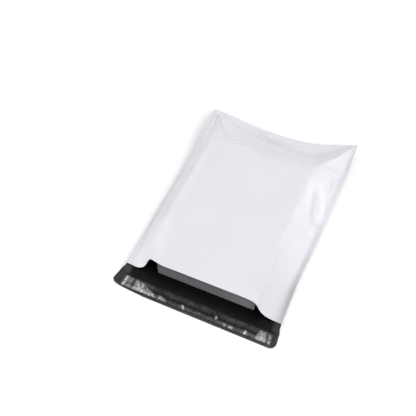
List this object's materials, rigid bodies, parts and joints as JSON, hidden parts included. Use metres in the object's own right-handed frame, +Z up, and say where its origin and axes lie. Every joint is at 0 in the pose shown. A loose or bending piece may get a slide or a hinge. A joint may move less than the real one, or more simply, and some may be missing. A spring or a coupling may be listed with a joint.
{
  "type": "poly mailer bag",
  "caption": "White poly mailer bag lying face up, mouth open, closing flap with glue strip and crinkled release liner laid out, closed carton inside",
  "frame": {"origin": "on the surface it lies on, under the middle of the whole bag with its flap laid out", "axes": "+X to the right seen from the mouth, +Y from the mouth to the fold at the far end, +Z up out of the front panel"},
  "size_m": [0.2542, 0.3816, 0.0283],
  "materials": {
    "film": "satin",
    "adhesive": "tacky, glossy",
    "liner": "silvery, crinkled",
    "carton": "smooth matt board"
  },
  "bodies": {
    "root": {"mailer_film": "film", "adhesive_strip": "adhesive", "release_liner": "liner", "inner_carton": "carton"}
  },
  "joints": []
}
